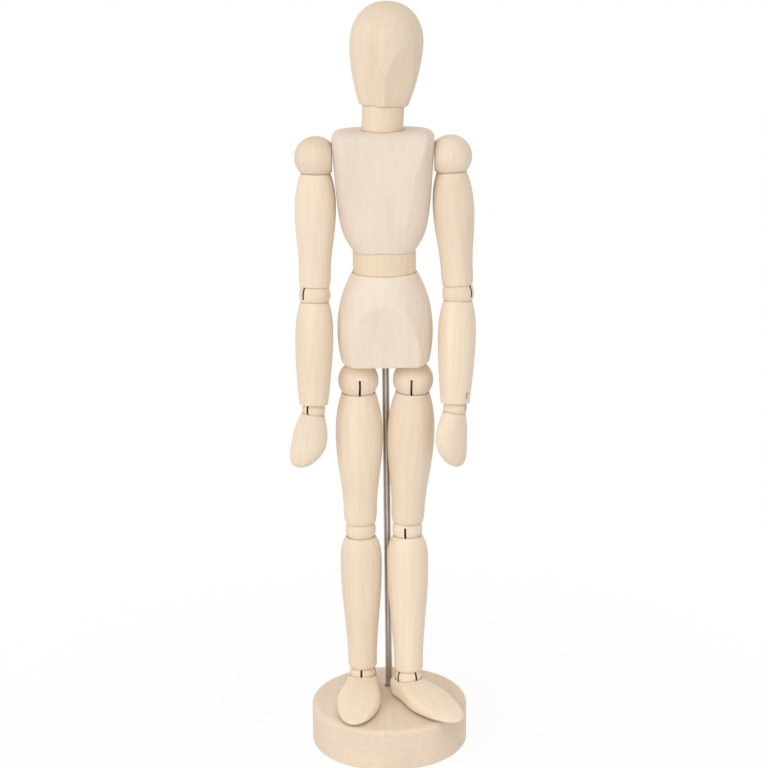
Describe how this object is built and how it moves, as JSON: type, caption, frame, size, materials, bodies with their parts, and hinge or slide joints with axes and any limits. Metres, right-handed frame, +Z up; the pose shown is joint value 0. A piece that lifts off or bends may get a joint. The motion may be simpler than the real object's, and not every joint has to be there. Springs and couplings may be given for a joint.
{
  "type": "artist mannequin",
  "caption": "Jointed wooden drawing figure on a round base with a steel support rod; saw-cut ball joints let limbs, trunk and head be posed and stay put.",
  "frame": {"origin": "centre of the base underside, on the surface that it stands on", "axes": "+Z up along the figure, the figure faces -Y, its left side is +X"},
  "size_m": [0.0754, 0.065, 0.3054],
  "materials": {
    "pale_wood": "fine sanded bare pale hardwood, chest and pelvis",
    "blond_wood": "fine sanded bare blond hardwood, limbs, balls, head",
    "barrel_wood": "fine sanded bare hardwood, warmer, waist and neck barrels",
    "base_wood": "turned and sanded hardwood disc",
    "steel": "drawn steel wire and rod, slightly dull"
  },
  "bodies": {
    "base": {"base": "base_wood"},
    "rod": {"support_rod": "steel"},
    "pelvis": {"pelvis": "pale_wood"},
    "waist": {"waist": "barrel_wood", "waist_spring": "steel"},
    "chest": {"chest": "pale_wood", "shoulder_spring": "steel"},
    "neck": {"neck": "barrel_wood"},
    "neck_core": {"neck_spring": "steel"},
    "head": {"head": "blond_wood"},
    "right_shoulder": {"right_shoulder_ball": "blond_wood", "right_shoulder_pin": "steel"},
    "right_shoulder_tongue": {"right_shoulder_link": "steel"},
    "right_upper_arm": {"right_upper_arm": "blond_wood", "right_elbow_link": "steel"},
    "right_elbow": {"right_elbow_ball": "blond_wood", "right_elbow_pin": "steel"},
    "right_forearm": {"right_forearm": "blond_wood", "right_wrist_link": "steel"},
    "right_wrist": {"right_wrist_ball": "blond_wood", "right_wrist_pin": "steel"},
    "right_hand": {"right_hand": "blond_wood"},
    "right_hip": {"right_hip_ball": "blond_wood", "right_hip_pin": "steel"},
    "right_thigh": {"right_thigh": "blond_wood", "right_hip_link": "steel"},
    "right_knee": {"right_knee_ball": "blond_wood", "right_knee_pin": "steel"},
    "right_shin": {"right_shin": "blond_wood", "right_knee_link": "steel", "right_ankle_link": "steel"},
    "right_ankle": {"right_ankle_ball": "blond_wood", "right_ankle_pin": "steel"},
    "right_foot": {"right_foot": "blond_wood"},
    "left_shoulder": {"left_shoulder_ball": "blond_wood", "left_shoulder_pin": "steel"},
    "left_shoulder_tongue": {"left_shoulder_link": "steel"},
    "left_upper_arm": {"left_upper_arm": "blond_wood", "left_elbow_link": "steel"},
    "left_elbow": {"left_elbow_ball": "blond_wood", "left_elbow_pin": "steel"},
    "left_forearm": {"left_forearm": "blond_wood", "left_wrist_link": "steel"},
    "left_wrist": {"left_wrist_ball": "blond_wood", "left_wrist_pin": "steel"},
    "left_hand": {"left_hand": "blond_wood"},
    "left_hip": {"left_hip_ball": "blond_wood", "left_hip_pin": "steel"},
    "left_thigh": {"left_thigh": "blond_wood", "left_hip_link": "steel"},
    "left_knee": {"left_knee_ball": "blond_wood", "left_knee_pin": "steel"},
    "left_shin": {"left_shin": "blond_wood", "left_knee_link": "steel", "left_ankle_link": "steel"},
    "left_ankle": {"left_ankle_ball": "blond_wood", "left_ankle_pin": "steel"},
    "left_foot": {"left_foot": "blond_wood"}
  },
  "joints": [
    {"name": "stand_turn", "type": "hinge", "parent": "base", "child": "rod", "pos_m": [0, 0.0125, 0.0058], "axis": [0, 0, 1], "continuous": true},
    {"name": "figure_lift", "type": "slide", "parent": "rod", "child": "pelvis", "axis": [0, 0, 1], "range_m": [0, 0.015]},
    {"name": "waist_bow", "type": "hinge", "parent": "pelvis", "child": "waist", "pos_m": [0, 0.006, 0.204], "axis": [1, 0, 0], "range_deg": [-12, 20]},
    {"name": "chest_turn", "type": "hinge", "parent": "waist", "child": "chest", "pos_m": [0, 0.006, 0.204], "axis": [0, 0, 1], "range_deg": [-40, 40]},
    {"name": "neck_lean", "type": "hinge", "parent": "chest", "child": "neck", "pos_m": [0, 0.006, 0.2608], "axis": [0, 1, 0], "range_deg": [-15, 15]},
    {"name": "head_nod", "type": "hinge", "parent": "neck", "child": "neck_core", "pos_m": [0, 0.006, 0.2608], "axis": [0.9981, 0, -0.061], "range_deg": [-15, 20]},
    {"name": "head_turn", "type": "hinge", "parent": "neck_core", "child": "head", "pos_m": [0, 0.006, 0.2608], "axis": [0.061, 0, 0.9981], "range_deg": [-70, 70]},
    {"name": "right_shoulder_swing", "type": "hinge", "parent": "chest", "child": "right_shoulder", "pos_m": [-0.0265, 0.006, 0.2455], "axis": [-1, 0, 0], "range_deg": [-50, 145]},
    {"name": "right_arm_raise", "type": "hinge", "parent": "right_shoulder", "child": "right_shoulder_tongue", "pos_m": [-0.0265, 0.006, 0.2455], "axis": [0, 0.9976, -0.0698], "range_deg": [0, 88]},
    {"name": "right_arm_twist", "type": "hinge", "parent": "right_shoulder_tongue", "child": "right_upper_arm", "pos_m": [-0.0265, 0.006, 0.2455], "axis": [0.0262, 0.0697, 0.9972], "range_deg": [-60, 60]},
    {"name": "right_elbow_bend", "type": "hinge", "parent": "right_upper_arm", "child": "right_elbow", "pos_m": [-0.02792, 0.00222, 0.19145], "axis": [-0.7069, 0.7067, -0.0309], "range_deg": [-3, 52]},
    {"name": "right_forearm_twist", "type": "hinge", "parent": "right_elbow", "child": "right_forearm", "pos_m": [-0.02792, 0.00222, 0.19145], "axis": [0.0262, 0.1184, 0.9926], "range_deg": [-75, 75]},
    {"name": "right_wrist_bend", "type": "hinge", "parent": "right_forearm", "child": "right_wrist", "pos_m": [-0.02913, -0.00326, 0.14549], "axis": [-0.8657, 0.4992, -0.0367], "range_deg": [-35, 45]},
    {"name": "right_hand_twist", "type": "hinge", "parent": "right_wrist", "child": "right_hand", "pos_m": [-0.02913, -0.00326, 0.14549], "axis": [0.1392, 0.1173, 0.9833], "range_deg": [-80, 80]},
    {"name": "right_hip_turn", "type": "hinge", "parent": "pelvis", "child": "right_hip", "pos_m": [-0.0111, 0.006, 0.1551], "axis": [0, 0, -1], "range_deg": [-5, 45]},
    {"name": "right_hip_swing", "type": "hinge", "parent": "right_hip", "child": "right_thigh", "pos_m": [-0.0111, 0.006, 0.1551], "axis": [-0.9962, -0.0872, 0], "range_deg": [0, 70]},
    {"name": "right_knee_turn", "type": "hinge", "parent": "right_thigh", "child": "right_knee", "pos_m": [-0.0111, 0.006, 0.0909], "axis": [0, 0, -1], "range_deg": [-5, 60]},
    {"name": "right_knee_bend", "type": "hinge", "parent": "right_knee", "child": "right_shin", "pos_m": [-0.0111, 0.006, 0.0909], "axis": [0, 1, 0], "range_deg": [0, 40]},
    {"name": "right_ankle_tilt", "type": "hinge", "parent": "right_shin", "child": "right_ankle", "pos_m": [-0.0111, 0.006, 0.0267], "axis": [-0.9951, 0.0993, 0], "range_deg": [-2, 14]},
    {"name": "right_foot_turn", "type": "hinge", "parent": "right_ankle", "child": "right_foot", "pos_m": [-0.0111, 0.006, 0.0267], "axis": [0, 0, -1], "range_deg": [-5, 40]},
    {"name": "left_shoulder_swing", "type": "hinge", "parent": "chest", "child": "left_shoulder", "pos_m": [0.0265, 0.006, 0.2455], "axis": [-1, 0, 0], "range_deg": [-50, 145]},
    {"name": "left_arm_raise", "type": "hinge", "parent": "left_shoulder", "child": "left_shoulder_tongue", "pos_m": [0.0265, 0.006, 0.2455], "axis": [0, -0.9976, 0.0698], "range_deg": [0, 88]},
    {"name": "left_arm_twist", "type": "hinge", "parent": "left_shoulder_tongue", "child": "left_upper_arm", "pos_m": [0.0265, 0.006, 0.2455], "axis": [-0.0506, 0.0697, 0.9963], "range_deg": [-60, 60]},
    {"name": "left_elbow_bend", "type": "hinge", "parent": "left_upper_arm", "child": "left_elbow", "pos_m": [0.02924, 0.00222, 0.1915], "axis": [-0.5585, -0.829, 0.0296], "range_deg": [-1, 52]},
    {"name": "left_forearm_twist", "type": "hinge", "parent": "left_elbow", "child": "left_forearm", "pos_m": [0.02924, 0.00222, 0.1915], "axis": [0.0332, 0.1183, 0.9924], "range_deg": [-75, 75]},
    {"name": "left_wrist_bend", "type": "hinge", "parent": "left_forearm", "child": "left_wrist", "pos_m": [0.02771, -0.00326, 0.14555], "axis": [-0.3418, -0.9317, 0.1225], "range_deg": [-12, 45]},
    {"name": "left_hand_twist", "type": "hinge", "parent": "left_wrist", "child": "left_hand", "pos_m": [0.02771, -0.00326, 0.14555], "axis": [0.1219, 0.1175, 0.9856], "range_deg": [-80, 80]},
    {"name": "left_hip_turn", "type": "hinge", "parent": "pelvis", "child": "left_hip", "pos_m": [0.0111, 0.006, 0.1551], "axis": [0, 0, 1], "range_deg": [-5, 45]},
    {"name": "left_hip_swing", "type": "hinge", "parent": "left_hip", "child": "left_thigh", "pos_m": [0.0111, 0.006, 0.1551], "axis": [-0.9952, 0.0872, 0.0435], "range_deg": [0, 70]},
    {"name": "left_knee_turn", "type": "hinge", "parent": "left_thigh", "child": "left_knee", "pos_m": [0.0083, 0.006, 0.09096], "axis": [0, 0, 1], "range_deg": [-5, 60]},
    {"name": "left_knee_bend", "type": "hinge", "parent": "left_knee", "child": "left_shin", "pos_m": [0.0083, 0.006, 0.09096], "axis": [-0.9877, 0.1559, -0.0128], "range_deg": [0, 40]},
    {"name": "left_ankle_tilt", "type": "hinge", "parent": "left_shin", "child": "left_ankle", "pos_m": [0.0083, 0.00074, 0.02698], "axis": [-0.8192, -0.5716, 0.047], "range_deg": [-2, 14]},
    {"name": "left_foot_turn", "type": "hinge", "parent": "left_ankle", "child": "left_foot", "pos_m": [0.0083, 0.00074, 0.02698], "axis": [0, 0, 1], "range_deg": [-11, 35]}
  ]
}
